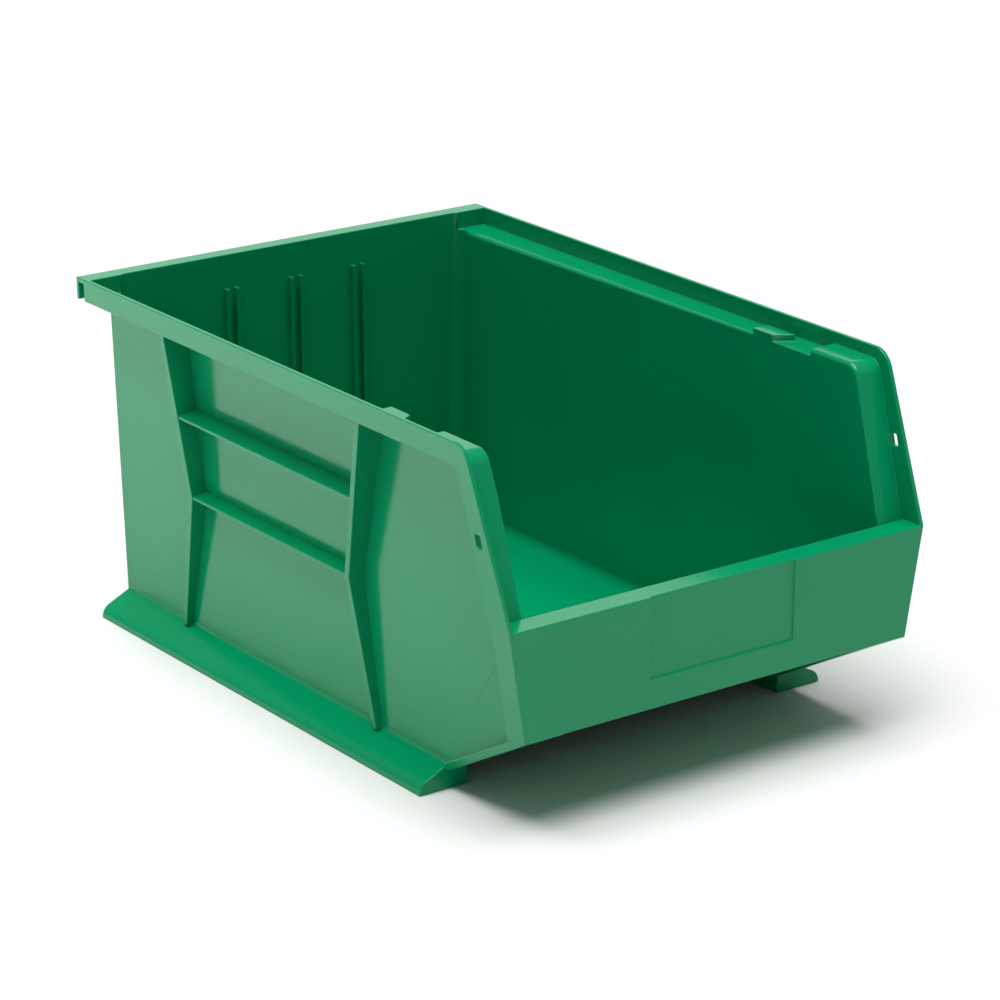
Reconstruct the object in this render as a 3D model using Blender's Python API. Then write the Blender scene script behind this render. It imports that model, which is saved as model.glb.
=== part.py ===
"""Stackable storage bin with a low open front, side grips, base rails and a rear hanging lip.

Metres, +Z up. The front of the bin faces -Y and its rear, with the hanging lip, faces +Y.
The origin is at the middle of the footprint, on the surface that the base rails stand on.
The bin is one plastic moulding. Its walls, ribs, flanges and rails are modelled as separate solids,
each JOINT_GAP apart from the next.
"""

import math

import bmesh
import bpy
from mathutils import Matrix, Vector

MM = 0.001

# Overall size
HALF_WIDTH = 139.7
FRONT_Y = -204.3
REAR_Y = 204.3
TOP_Z = 203.2

# General
JOINT_GAP = 0.3
WALL = 2.8
SIDE_TILT = math.radians(1.6)
TILT_Z = 190.0

# Floor and ramp
FLOOR_UNDER = 11.5
FLOOR_TOP = 14.0
FLOOR_HALF_WIDTH = 115.0
RAMP_START_Y = -122.2
RAMP_THICK = 2.6
RAMP_CLEARANCE = 0.5

# Rear wall, lip and hook
REAR_FOOT_Y = 191.9
REAR_TOP_Y = 195.3
LIP_FRONT_Y = 192.3
LIP_THICK = 2.8
HOOK_THICK = 3.6
HOOK_FOOT_Z = 190.3

# Side walls, ledge and flange
WALL_OUT_X = 122.9
LEDGE_TOP = 193.0
LEDGE_UNDER = 190.2
FLANGE_THICK = 2.5
LEDGE_CLEARANCE = 0.8
FLANGE_UNDER = 190.7
STOP_TOP = 196.8
STOP_BLOCK_Y = (-103.5, -80.0)
STOP_BLOCK_OUT_X = 131.0
FRONT_STOP_Y = -128.0
STOP_RADIUS = 9.0
LEDGE_SETBACK = 8.0

# Slanted front edge
EDGE_SLOPE = 0.40
WEB_SLOPE = 0.30
WEB_THICK = 2.9
WEB_SETBACK = 15.5
EDGE_BAND = 14.0
EDGE_BAND_TAPER = 3.5
CORNER_R = 12.0
RIM_SPLIT = 6.0
ARC_STEPS = 8
SLOT_HOLE_Y = (-181.0, -175.0)
SLOT_HOLE_Z = (153.0, 159.5)
CUTTER_REACH = 10.0

# Front wall
FRONT_TOP_Z = 114.6
FRONT_FOOT_Z = 53.5
FRONT_TOP_HALF = 137.1
FRONT_FOOT_HALF = 126.9
FRONT_THICK = 3.2
LABEL_HALF = 47.5
LABEL_FOOT_Z = 70.0
LABEL_DEPTH = 1.3
FRONT_FLANGE_DEPTH = 11.5
SIDE_FLANGE_DEPTH = 13.5
LOWER_BAND = 4.8
BAND_REAR_HALF = 121.6
BAND_REAR_TOP = 15.0

# Base rails
RAIL_IN_X = 105.6
RAIL_OUT_X = 136.0
RAIL_FRONT_Y = -126.2
RAIL_WALL = 2.5
RAIL_ROOF = 11.2
SHOULDER_IN_X = 119.0
SHOULDER_TOP = 13.8

# Ribs on the side walls: (y at the top, at the kink and at the foot) of each rib's front face
RIB_KINK_Z = 97.4
RIB_FOOT_Z = 15.2
RIB_THICK = 4.2
REAR_RIB_Y = (112.6, 99.9, 121.5)
FRONT_RIB_Y = (-76.9, -53.7, -67.0)
RIB_EDGE_FOOT_X = 120.8
RIB_EDGE_SLOPE = 0.0935
UPPER_SHELF_Z = 144.8
LOWER_SHELF_Z = 98.5
SHELF_ROOT = 2.6
SHELF_LIP = 1.8
SHELF_DROP = 1.3
SHELF_CLEARANCE = 0.4

# Divider ribs on the rear wall
DIVIDER_X = (-44.0, 0.0, 44.0)
DIVIDER_GAP = 6.6
DIVIDER_WIDTH = 2.0
DIVIDER_DEPTH = 4.0
DIVIDER_TOP = 183.5

GREEN = (0.004, 0.255, 0.105, 1.0)

for old in list(bpy.data.objects):
    bpy.data.objects.remove(old, do_unlink=True)

parts = bpy.data.collections.new("storage_bin")
cutters = bpy.data.collections.new("cutters")
bpy.context.scene.collection.children.link(parts)
bpy.context.scene.collection.children.link(cutters)
cutters.hide_render = True


def plastic(name, roughness):
    """One Principled material for a section of the moulding."""
    material = bpy.data.materials.new(name)
    material.use_nodes = True
    shader = material.node_tree.nodes["Principled BSDF"]
    shader.inputs["Base Color"].default_value = GREEN
    shader.inputs["Roughness"].default_value = roughness
    shader.inputs["Metallic"].default_value = 0.0
    return material


def finish(obj, name, mesh_collection=None, roughness=0.3):
    """Names the object, gives it its own material and puts it in its collection."""
    obj.name = name
    obj.data.name = name
    target = mesh_collection or parts
    for holder in list(obj.users_collection):
        holder.objects.unlink(obj)
    target.objects.link(obj)
    if target is cutters:
        obj.hide_render = True
        obj.display_type = "WIRE"
        return obj
    obj.data.materials.clear()
    obj.data.materials.append(plastic(name, roughness))
    return obj


def block(name, low, high, collection=None):
    """A cube between two opposite corners, in millimetres."""
    mesh = bpy.data.meshes.new(name)
    shape = bmesh.new()
    bmesh.ops.create_cube(shape, size=1.0)
    low, high = Vector(low), Vector(high)
    size = high - low
    bmesh.ops.scale(shape, vec=size * MM, verts=shape.verts)
    bmesh.ops.translate(shape, vec=(low + high) * 0.5 * MM, verts=shape.verts)
    shape.to_mesh(mesh)
    shape.free()
    return finish(bpy.data.objects.new(name, mesh), name, collection)


def tapered(name, corner, collection=None):
    """A cube whose corners go where corner(i, j, k) says: i is 0 or 1 in X, j in Y and k in Z."""
    mesh = bpy.data.meshes.new(name)
    shape = bmesh.new()
    bmesh.ops.create_cube(shape, size=1.0)
    for vert in shape.verts:
        i, j, k = (int(value > 0.0) for value in vert.co)
        vert.co = Vector(corner(i, j, k)) * MM
    bmesh.ops.recalc_face_normals(shape, faces=shape.faces)
    shape.to_mesh(mesh)
    shape.free()
    return finish(bpy.data.objects.new(name, mesh), name, collection)


def outline(name, points, plane, start, end, tilt=0.0, pivot=(0.0, 0.0), collection=None):
    """A flat outline extruded from start to end across its plane: YZ outlines along X, XZ along Y.

    tilt turns a YZ outline about the Y axis through pivot (x, z).
    """
    curve = bpy.data.curves.new(name, "CURVE")
    curve.dimensions = "2D"
    curve.fill_mode = "BOTH"
    curve.extrude = abs(end - start) * 0.5 * MM
    spline = curve.splines.new("POLY")
    spline.points.add(len(points) - 1)
    for point, (across, up) in zip(spline.points, points):
        point.co = (across * MM, up * MM, 0.0, 1.0)
    spline.use_cyclic_u = True
    guide = bpy.data.objects.new(name + "_guide", curve)
    bpy.context.scene.collection.objects.link(guide)
    middle = (start + end) * 0.5 * MM
    if plane == "YZ":
        frame = Matrix(((0, 0, 1, middle), (1, 0, 0, 0), (0, 1, 0, 0), (0, 0, 0, 1)))
    else:
        frame = Matrix(((1, 0, 0, 0), (0, 0, -1, middle), (0, 1, 0, 0), (0, 0, 0, 1)))
    bpy.context.view_layer.update()
    evaluated = guide.evaluated_get(bpy.context.evaluated_depsgraph_get())
    mesh = bpy.data.meshes.new_from_object(evaluated)
    bpy.data.objects.remove(guide, do_unlink=True)
    shape = bmesh.new()
    shape.from_mesh(mesh)
    bmesh.ops.remove_doubles(shape, verts=shape.verts, dist=0.00001)
    bmesh.ops.transform(shape, matrix=frame, verts=shape.verts)
    if tilt:
        centre = Matrix.Translation((pivot[0] * MM, 0.0, pivot[1] * MM))
        turn = centre @ Matrix.Rotation(tilt, 4, "Y") @ centre.inverted()
        bmesh.ops.transform(shape, matrix=turn, verts=shape.verts)
    bmesh.ops.recalc_face_normals(shape, faces=shape.faces)
    shape.to_mesh(mesh)
    shape.free()
    return finish(bpy.data.objects.new(name, mesh), name, collection)


def cut(obj, cutter):
    modifier = obj.modifiers.new("cut_" + cutter.name, "BOOLEAN")
    modifier.operation = "DIFFERENCE"
    modifier.solver = "EXACT"
    modifier.object = cutter


def arc(corner, before, after, radius):
    """Points that round a corner between the directions to before and to after."""
    corner = Vector(corner)
    back = (Vector(before) - corner).normalized()
    ahead = (Vector(after) - corner).normalized()
    half = back.angle(ahead) * 0.5
    reach = radius / math.tan(half)
    centre = corner + (back + ahead).normalized() * (radius / math.sin(half))
    first = corner + back * reach - centre
    last = corner + ahead * reach - centre
    sweep = first.angle_signed(last)
    points = []
    for step in range(ARC_STEPS + 1):
        turn = -sweep * step / ARC_STEPS
        cosine, sine = math.cos(turn), math.sin(turn)
        spoke = Vector((first.x * cosine - first.y * sine, first.x * sine + first.y * cosine))
        points.append(tuple(centre + spoke))
    return points


def wall_out(z):
    """The outer face of the side wall at a height."""
    return WALL_OUT_X - math.tan(SIDE_TILT) * (TILT_Z - z)


def edge_y(z):
    """The front of the slanted flange at a height above the front wall."""
    return FRONT_Y + EDGE_SLOPE * (z - FRONT_TOP_Z)


def web_y(z):
    """The front face of the web behind the slanted flange."""
    return FRONT_Y + WEB_SETBACK + WEB_SLOPE * (z - FRONT_TOP_Z)


def rear_out(z):
    """The rear face of the rear wall at a height."""
    return REAR_FOOT_Y + (REAR_TOP_Y - REAR_FOOT_Y) * z / TOP_Z


def ramp_under(y):
    """The underside of the ramp between the floor and the front wall."""
    share = (y - RAMP_START_Y) / (FRONT_Y + FRONT_THICK - RAMP_START_Y)
    return FLOOR_UNDER + share * (FRONT_FOOT_Z + RAMP_CLEARANCE - FLOOR_UNDER)


def rib_edge(z):
    """The outer edge of the side ribs at a height."""
    return RIB_EDGE_FOOT_X + RIB_EDGE_SLOPE * z


def rib_face(rib, z):
    """The front face of a kinked rib at a height."""
    top, kink, foot = rib
    if z > RIB_KINK_Z:
        return kink + (top - kink) * (z - RIB_KINK_Z) / (TILT_Z - RIB_KINK_Z)
    return foot + (kink - foot) * (z - RIB_FOOT_Z) / (RIB_KINK_Z - RIB_FOOT_Z)


# Floor, ramp, front and rear ------------------------------------------------------------------
floor_rear = rear_out(FLOOR_TOP) - WALL - JOINT_GAP
block(
    "floor_panel",
    (-FLOOR_HALF_WIDTH, RAMP_START_Y, FLOOR_UNDER),
    (FLOOR_HALF_WIDTH, floor_rear, FLOOR_TOP),
)

ramp_front = FRONT_Y + FRONT_THICK + JOINT_GAP
ramp_rear = RAMP_START_Y - JOINT_GAP
ramp_slope = (ramp_under(ramp_front) - FLOOR_UNDER) / (RAMP_START_Y - ramp_front)
ramp_height = RAMP_THICK * math.hypot(1.0, ramp_slope)
tapered(
    "front_ramp",
    lambda i, j, k: (
        (2 * i - 1) * FLOOR_HALF_WIDTH,
        (ramp_front, ramp_rear)[j],
        ramp_under((ramp_front, ramp_rear)[j]) + k * ramp_height,
    ),
)

front = tapered(
    "front_wall",
    lambda i, j, k: (
        (2 * i - 1) * (FRONT_FOOT_HALF, FRONT_TOP_HALF)[k],
        FRONT_Y + j * FRONT_THICK,
        (FRONT_FOOT_Z, FRONT_TOP_Z)[k],
    ),
)
label = block(
    "label_cutter",
    (-LABEL_HALF, FRONT_Y - LABEL_DEPTH, LABEL_FOOT_Z),
    (LABEL_HALF, FRONT_Y + LABEL_DEPTH, FRONT_TOP_Z + LABEL_DEPTH),
    cutters,
)
cut(front, label)

flange_half = FRONT_TOP_HALF - FLANGE_THICK - 2 * JOINT_GAP
block(
    "front_top_flange",
    (-flange_half, ramp_front, FRONT_TOP_Z - WALL),
    (flange_half, FRONT_Y + FRONT_THICK + FRONT_FLANGE_DEPTH - JOINT_GAP, FRONT_TOP_Z),
)

wall_top = LEDGE_UNDER - JOINT_GAP
tapered(
    "rear_wall",
    lambda i, j, k: (
        (2 * i - 1) * wall_out((FLOOR_UNDER, wall_top)[k]),
        rear_out((FLOOR_UNDER, wall_top)[k]) - (1 - j) * WALL,
        (FLOOR_UNDER, wall_top)[k],
    ),
)
lip_under = TOP_Z - LIP_THICK
block(
    "rear_rim_band",
    (-HALF_WIDTH, LIP_FRONT_Y, LEDGE_UNDER),
    (HALF_WIDTH, REAR_TOP_Y, lip_under - JOINT_GAP),
)
block(
    "hanging_lip_top",
    (-HALF_WIDTH, LIP_FRONT_Y, lip_under),
    (HALF_WIDTH, REAR_Y, TOP_Z),
)
block(
    "hanging_hook",
    (-HALF_WIDTH, REAR_Y - HOOK_THICK, HOOK_FOOT_Z),
    (HALF_WIDTH, REAR_Y, lip_under - JOINT_GAP),
)

for number, middle in enumerate(DIVIDER_X, start=1):
    for letter, offset in (("a", -DIVIDER_GAP / 2), ("b", DIVIDER_GAP / 2)):
        low_x = middle + offset - DIVIDER_WIDTH / 2
        tapered(
            f"divider_rib_{number}{letter}",
            lambda i, j, k: (
                low_x + i * DIVIDER_WIDTH,
                rear_out((FLOOR_TOP, DIVIDER_TOP)[k]) - WALL - JOINT_GAP - (1 - j) * DIVIDER_DEPTH,
                (FLOOR_TOP + JOINT_GAP, DIVIDER_TOP)[k],
            ),
        )


# Everything that the two sides share, mirrored by side = -1 or 1 ------------------------------
def side_sections(word, side):
    def sided(low_x, high_x):
        return tuple(sorted((side * low_x, side * high_x)))

    def section(name, low_x, high_x, low_y, high_y, low_z, high_z):
        xs = sided(low_x, high_x)
        return block(f"{word}_{name}", (xs[0], low_y, low_z), (xs[1], high_y, high_z))

    def solid(name, corner):
        """A tapered block written for the right side."""
        def placed(i, j, k):
            right = i if side > 0 else 1 - i
            x, y, z = corner(right, j, k)
            return (side * x, y, z)
        return tapered(f"{word}_{name}", placed)

    tilt = SIDE_TILT * side

    # Side wall, from the floor to the ledge
    rear_low = rear_out(FLOOR_UNDER) - WALL - JOINT_GAP
    rear_high = rear_out(wall_top) - WALL - JOINT_GAP
    web_rear = WEB_THICK + JOINT_GAP
    shoulder_z = FRONT_TOP_Z - WALL - JOINT_GAP
    outline(
        f"{word}_side_wall",
        (
            (rear_low, FLOOR_UNDER),
            (rear_high, wall_top),
            (web_y(wall_top) + web_rear, wall_top),
            (web_y(FRONT_TOP_Z) + web_rear, FRONT_TOP_Z),
            (web_y(FRONT_TOP_Z) + web_rear, shoulder_z),
            (ramp_front, shoulder_z),
            (ramp_front, FRONT_FOOT_Z + RAMP_CLEARANCE),
            (RAMP_START_Y, FLOOR_UNDER),
        ),
        "YZ",
        *sided(WALL_OUT_X - WALL, WALL_OUT_X),
        tilt=tilt,
        pivot=(side * WALL_OUT_X, TILT_Z),
    )

    # Ledge on which the rails of a bin above rest, and the stops that hold them
    ledge_in = WALL_OUT_X - WALL
    ledge_out = HALF_WIDTH - FLANGE_THICK - LEDGE_CLEARANCE
    stop_under = LEDGE_TOP + JOINT_GAP
    stop_thick = STOP_TOP - stop_under
    bend_top = (web_y(STOP_TOP), STOP_TOP)
    bend_in = (web_y(stop_under) + WEB_THICK, stop_under)
    web_top_z = STOP_TOP - STOP_RADIUS
    ledge_front = bend_in[0] + LEDGE_SETBACK
    section("stacking_ledge", ledge_in, ledge_out, STOP_BLOCK_Y[1] + JOINT_GAP,
            LIP_FRONT_Y - JOINT_GAP, LEDGE_UNDER, LEDGE_TOP)
    section("stop_ledge", ledge_in, ledge_out, ledge_front, STOP_BLOCK_Y[1],
            LEDGE_UNDER, LEDGE_TOP)
    section("stop_block", ledge_in, STOP_BLOCK_OUT_X, *STOP_BLOCK_Y, stop_under, STOP_TOP)
    web_at_top = (web_y(web_top_z), web_top_z)
    outline(
        f"{word}_front_stop",
        (
            [(FRONT_STOP_Y, stop_under), (FRONT_STOP_Y, STOP_TOP)]
            + arc(bend_top, (FRONT_STOP_Y, STOP_TOP), web_at_top, STOP_RADIUS)
            + [web_at_top, (web_y(web_top_z) + WEB_THICK, web_top_z)]
            + arc(bend_in, (web_y(web_top_z) + WEB_THICK, web_top_z),
                  (FRONT_STOP_Y, stop_under), STOP_RADIUS - stop_thick)
        ),
        "YZ",
        *sided(ledge_in, ledge_out),
    )

    # Web down the slanted front edge
    web_foot_z = FRONT_TOP_Z + JOINT_GAP
    web_head_z = web_top_z - JOINT_GAP
    drift = math.tan(SIDE_TILT)
    solid(
        "front_web",
        lambda i, j, k: (
            (ledge_in, ledge_out)[i] - drift * (TILT_Z - (web_foot_z, web_head_z)[k]),
            web_y((web_foot_z, web_head_z)[k]) + j * WEB_THICK,
            (web_foot_z, web_head_z)[k],
        ),
    )

    # Rim flange, its slanted front part, and the flanges beside and below the front wall
    corner_y = edge_y(TOP_Z)
    split_y = corner_y + CORNER_R + RIM_SPLIT
    section("rim_flange", HALF_WIDTH - FLANGE_THICK, HALF_WIDTH, split_y + JOINT_GAP,
            LIP_FRONT_Y - JOINT_GAP, FLANGE_UNDER, TOP_Z)
    edge_foot = (FRONT_Y, FRONT_TOP_Z + JOINT_GAP)
    flange = outline(
        f"{word}_front_edge_flange",
        (
            [(split_y, FLANGE_UNDER), (split_y, TOP_Z)]
            + arc((corner_y, TOP_Z), (split_y, TOP_Z), edge_foot, CORNER_R)
            + [edge_foot, (edge_foot[0] + EDGE_BAND, edge_foot[1])]
            + [(edge_y(FLANGE_UNDER) + EDGE_BAND - EDGE_BAND_TAPER, FLANGE_UNDER)]
        ),
        "YZ",
        *sided(HALF_WIDTH - FLANGE_THICK, HALF_WIDTH),
        tilt=tilt,
        pivot=(side * (HALF_WIDTH - FLANGE_THICK), TOP_Z),
    )
    hole_x = sided(HALF_WIDTH - CUTTER_REACH, HALF_WIDTH + CUTTER_REACH)
    hole = block(
        f"{word}_slot_cutter",
        (hole_x[0], SLOT_HOLE_Y[0], SLOT_HOLE_Z[0]),
        (hole_x[1], SLOT_HOLE_Y[1], SLOT_HOLE_Z[1]),
        cutters,
    )
    cut(flange, hole)

    side_front = FRONT_Y + FRONT_THICK + JOINT_GAP
    side_rear = FRONT_Y + SIDE_FLANGE_DEPTH
    solid(
        "front_side_flange",
        lambda i, j, k: (
            (FRONT_FOOT_HALF, FRONT_TOP_HALF)[k] - (1 - i) * FLANGE_THICK,
            (side_front, side_rear)[j],
            (FRONT_FOOT_Z + LOWER_BAND + JOINT_GAP, FRONT_TOP_Z)[k],
        ),
    )

    band_rear = RAIL_FRONT_Y - JOINT_GAP
    solid(
        "lower_edge_flange",
        lambda i, j, k: (
            (wall_out(FRONT_FOOT_Z) + 2 * JOINT_GAP, (FRONT_FOOT_HALF, BAND_REAR_HALF)[j])[i],
            (side_front, band_rear)[j],
            (FRONT_FOOT_Z, BAND_REAR_TOP - LOWER_BAND)[j] + k * LOWER_BAND,
        ),
    )

    # Base rail: a channel open below, closed at both ends
    rail = outline(
        f"{word}_base_rail",
        [
            (side * x, z)
            for x, z in (
                (RAIL_IN_X, 0.0),
                (RAIL_OUT_X - 1.0, 0.0),
                (RAIL_OUT_X, 1.0),
                (RAIL_OUT_X, 4.0),
                (RAIL_OUT_X - 0.9, 5.8),
                (RAIL_OUT_X - 3.0, 6.9),
                (RAIL_OUT_X - 11.0, 10.7),
                (SHOULDER_IN_X + 1.5, 12.9),
                (SHOULDER_IN_X, SHOULDER_TOP),
                (SHOULDER_IN_X, RAIL_ROOF),
                (RAIL_IN_X, RAIL_ROOF),
            )
        ],
        "XZ",
        RAIL_FRONT_Y,
        REAR_FOOT_Y,
    )
    hollow = outline(
        f"{word}_rail_cutter",
        [
            (side * x, z)
            for x, z in (
                (RAIL_IN_X + RAIL_WALL, -RAIL_WALL),
                (RAIL_OUT_X - RAIL_WALL, -RAIL_WALL),
                (RAIL_OUT_X - RAIL_WALL, 4.2),
                (RAIL_OUT_X - 12.0, 8.2),
                (SHOULDER_IN_X + 1.0, RAIL_ROOF - RAIL_WALL),
                (RAIL_IN_X + RAIL_WALL, RAIL_ROOF - RAIL_WALL),
            )
        ],
        "XZ",
        RAIL_FRONT_Y + RAIL_WALL,
        REAR_FOOT_Y - RAIL_WALL,
        collection=cutters,
    )
    cut(rail, hollow)

    # Kinked ribs and grip shelves outside the side wall
    def rib(name, line, low_z, high_z):
        solid(
            name,
            lambda i, j, k: (
                (wall_out((low_z, high_z)[k]) + JOINT_GAP, rib_edge((low_z, high_z)[k]))[i],
                rib_face(line, (low_z, high_z)[k]) + j * RIB_THICK,
                (low_z, high_z)[k],
            ),
        )

    rib_top = LEDGE_UNDER - JOINT_GAP
    for place, line in (("rear", REAR_RIB_Y), ("front", FRONT_RIB_Y)):
        rib(f"{place}_rib_upper", line, RIB_KINK_Z + JOINT_GAP / 2, rib_top)
        rib(f"{place}_rib_lower", line, RIB_FOOT_Z, RIB_KINK_Z - JOINT_GAP / 2)

    def shelf(name, lip_z):
        front_y = rib_face(FRONT_RIB_Y, lip_z) + RIB_THICK + JOINT_GAP + SHELF_CLEARANCE
        rear_y = rib_face(REAR_RIB_Y, lip_z) - JOINT_GAP - SHELF_CLEARANCE
        solid(
            name,
            lambda i, j, k: (
                (wall_out(lip_z) + SHELF_CLEARANCE, rib_edge(lip_z))[i],
                (front_y, rear_y)[j],
                lip_z + (1 - i) * SHELF_DROP - (1 - k) * (SHELF_ROOT, SHELF_LIP)[i],
            ),
        )

    shelf("upper_shelf", UPPER_SHELF_Z)
    shelf("lower_shelf", LOWER_SHELF_Z)


side_sections("left", -1)
side_sections("right", 1)

for obj in parts.objects:
    obj.data.shade_flat()
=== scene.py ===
"""Looks of a stackable storage bin: one emerald green moulding on a pale studio floor."""

import math

import bmesh
import bpy
from bpy.props import FloatProperty, FloatVectorProperty, PointerProperty
from mathutils import Matrix, Vector


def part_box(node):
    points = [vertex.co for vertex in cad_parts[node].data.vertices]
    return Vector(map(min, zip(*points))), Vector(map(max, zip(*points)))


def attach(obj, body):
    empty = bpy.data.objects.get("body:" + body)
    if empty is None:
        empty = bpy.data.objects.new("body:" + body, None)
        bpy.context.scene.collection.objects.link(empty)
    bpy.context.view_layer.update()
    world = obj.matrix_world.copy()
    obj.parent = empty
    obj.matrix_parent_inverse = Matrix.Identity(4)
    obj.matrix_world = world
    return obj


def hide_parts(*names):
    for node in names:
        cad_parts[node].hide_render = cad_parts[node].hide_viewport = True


bl_info = {
    "name": "Storage Bin",
    "version": (1, 0, 0),
    "blender": (4, 5, 0),
    "location": "3D View > Sidebar > Storage Bin",
    "description": "Models a stackable storage bin around its packed frame",
    "category": "Add Mesh",
}

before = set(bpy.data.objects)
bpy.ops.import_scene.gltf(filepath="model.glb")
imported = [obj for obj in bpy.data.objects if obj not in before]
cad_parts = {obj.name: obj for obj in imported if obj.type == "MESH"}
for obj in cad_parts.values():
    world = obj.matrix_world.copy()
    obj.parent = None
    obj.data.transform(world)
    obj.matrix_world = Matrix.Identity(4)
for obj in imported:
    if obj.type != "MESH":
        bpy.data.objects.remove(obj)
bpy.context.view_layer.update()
MM = 0.001

# Places, read from the frame
FLOOR_LOW, FLOOR_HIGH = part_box("floor_panel")
LEDGE_LOW, LEDGE_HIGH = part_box("right_stacking_ledge")
STOP_LOW, STOP_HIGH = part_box("right_stop_block")
FRONT_STOP_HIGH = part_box("right_front_stop")[1]
WALL_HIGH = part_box("right_side_wall")[1]
BAND_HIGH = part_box("rear_rim_band")[1]
RIM_LOW, RIM_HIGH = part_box("right_rim_flange")
FRONT_LOW, FRONT_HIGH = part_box("front_wall")
TOP_FLANGE_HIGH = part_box("front_top_flange")[1]
LOWER_BAND_LOW, LOWER_BAND_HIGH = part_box("right_lower_edge_flange")
HOOK_LOW, HOOK_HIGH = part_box("hanging_hook")
LIP_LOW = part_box("hanging_lip_top")[0]
RAIL_LOW, RAIL_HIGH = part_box("right_base_rail")
HALF_WIDTH = RIM_HIGH.x
FRONT_Y = FRONT_LOW.y
REAR_Y = HOOK_HIGH.y
TOP_Z = RIM_HIGH.z

# Sizes of the moulding
WALL = 2.8 * MM
TILT = math.radians(1.6)
REAR_LEAN = 3.4 / 203.2
EDGE_SLOPE = 0.40
WEB_SLOPE = 0.30
WEB_SETBACK = 15.5 * MM
WEB_THICK = 2.9 * MM
FLANGE_THICK = RIM_HIGH.x - RIM_LOW.x
LOWER_BAND = 4.8 * MM
REAR_FOOT_Y = 191.9 * MM
RAMP_THICK = 2.6 * MM
STOP_RUN = 15.0 * MM
SLOT_GAP = 1.1 * MM
SLOT_WIDTH = 4.6 * MM
SLOT_Z = (153.0 * MM, 159.5 * MM)
LABEL_HALF = 47.5 * MM
LABEL_FOOT = 70.0 * MM
RIB_THICK = 4.2 * MM
RIB_EDGE_SLOPE = 0.0935
RIB_Y = {"rear": (112.6 * MM, 99.9 * MM, 121.5 * MM),
         "front": (-76.9 * MM, -53.7 * MM, -67.0 * MM)}
SHELF_DROP = 1.3 * MM
RAIL_SLOPE = 0.48
RAIL_NOSE_Z = 5.46 * MM
RAIL_WALL = 2.5 * MM
DIVIDER_HEIGHT = 4.0 * MM
SIDES = ("left", "right")

# Allowances for modelling, in metres, square metres and radians
SLACK = 20.0 * MM
BITE = 0.6 * MM
MERGE = 0.03 * MM
BROAD_FACE = 900.0 * MM * MM
EXACT = 1e-6
NEAR_WALL = 0.05 * MM
FLAT_ANGLE = math.radians(0.2)
SMOOTH_ANGLE = math.radians(35.0)

# Studio, in metres, and in millimetres for the sensor
FLOOR_SIZE = 30.0
SIDE_SOFTBOX = (-1.0, 0.45, 1.0)
SIDE_TARGET = (-1.0, 0.45, 0.0)
BACK_SOFTBOX = (1.5, 2.0, 1.0)
BACK_TARGET = (0.0, 0.0, 0.2)
SENSOR_WIDTH = 36.0
CLIP_START = 0.05


# Modelling by hand, in code ---------------------------------------------------------------------
def deselect():
    """Leaves nothing selected, in object mode."""
    if bpy.context.mode != "OBJECT":
        bpy.ops.object.mode_set(mode="OBJECT")
    bpy.ops.object.select_all(action="DESELECT")


def activate(obj):
    """Leaves only this object selected, in object mode."""
    deselect()
    obj.select_set(True)
    bpy.context.view_layer.objects.active = obj


def block(name, low, high):
    """A cube between two corners."""
    deselect()
    low, high = Vector(low), Vector(high)
    bpy.ops.mesh.primitive_cube_add(size=1.0, location=(low + high) / 2, scale=high - low)
    obj = bpy.context.object
    obj.name = name
    obj.data.name = name
    bpy.ops.object.transform_apply(location=True, rotation=True, scale=True)
    return obj


def prism(name, corners, depth):
    """A solid from an outline, drawn corner by corner from one vertex and pushed along depth."""
    deselect()
    bpy.ops.mesh.primitive_plane_add(size=MM)
    obj = bpy.context.object
    obj.name = name
    obj.data.name = name
    bpy.ops.object.mode_set(mode="EDIT")
    bpy.ops.mesh.select_mode(type="VERT")
    bpy.ops.mesh.select_all(action="SELECT")
    bpy.ops.mesh.merge(type="CENTER")
    bpy.ops.transform.translate(value=corners[0])
    for here, there in zip(corners, corners[1:]):
        bpy.ops.mesh.extrude_region_move(TRANSFORM_OT_translate={"value": there - here})
    bpy.ops.mesh.select_all(action="SELECT")
    bpy.ops.mesh.edge_face_add()
    bpy.ops.mesh.extrude_region_move(TRANSFORM_OT_translate={"value": depth})
    bpy.ops.mesh.select_all(action="SELECT")
    bpy.ops.mesh.normals_make_consistent(inside=False)
    bpy.ops.object.mode_set(mode="OBJECT")
    return obj


def side_prism(name, low_x, high_x, outline):
    """A solid from a side view, given as pairs of y and z."""
    return prism(name, [Vector((low_x, y, z)) for y, z in outline], (high_x - low_x, 0.0, 0.0))


def beyond(plane, reach=0.3):
    """A big block on the far side of a plane, to cut with."""
    obj = block("beyond", (-reach, -reach, -reach), (2 * reach, reach, reach))
    trim(obj, *opposite(plane))
    return obj


def trim(obj, point, normal):
    """Cuts off what lies beyond a plane and closes the cut."""
    activate(obj)
    bpy.ops.object.mode_set(mode="EDIT")
    bpy.ops.mesh.select_all(action="SELECT")
    bpy.ops.mesh.bisect(plane_co=point, plane_no=normal, use_fill=True, clear_outer=True,
                        threshold=EXACT)
    bpy.ops.object.mode_set(mode="OBJECT")
    return obj


def crease(obj, height):
    """Adds a ring of edges at a height."""
    activate(obj)
    bpy.ops.object.mode_set(mode="EDIT")
    bpy.ops.mesh.select_all(action="SELECT")
    bpy.ops.mesh.bisect(plane_co=(0.0, 0.0, height), plane_no=(0.0, 0.0, 1.0), threshold=EXACT)
    bpy.ops.object.mode_set(mode="OBJECT")


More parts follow.
